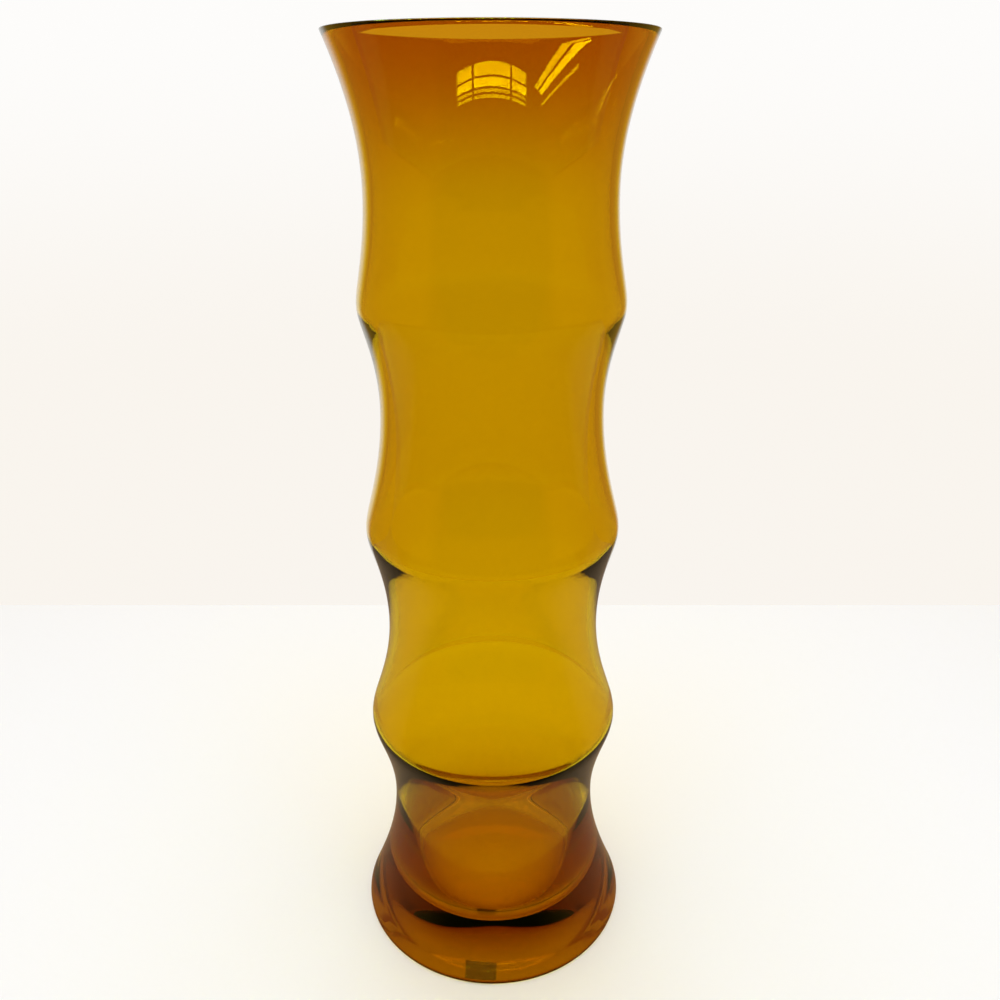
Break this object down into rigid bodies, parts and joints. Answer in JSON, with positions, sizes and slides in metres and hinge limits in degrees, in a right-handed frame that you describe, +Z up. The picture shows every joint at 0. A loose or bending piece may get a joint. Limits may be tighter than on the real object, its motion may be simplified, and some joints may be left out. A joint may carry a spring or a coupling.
{
  "type": "vase",
  "caption": "Tall hollow glass vase shaped like a bamboo stem: waisted internodes between rounded ridges, a flared lip and a solid flared foot.",
  "frame": {"origin": "centre of the underside, on the surface that the vase stands on", "axes": "+Z up along the vase's own axis, -Y towards the side that the picture shows, +X to the right as the picture shows it"},
  "size_m": [0.0978, 0.098, 0.305],
  "materials": {
    "amber_glass": "polished",
    "clear_film": "satin"
  },
  "bodies": {
    "root": {"vase_body": "amber_glass", "foot_label": "clear_film"}
  },
  "joints": []
}
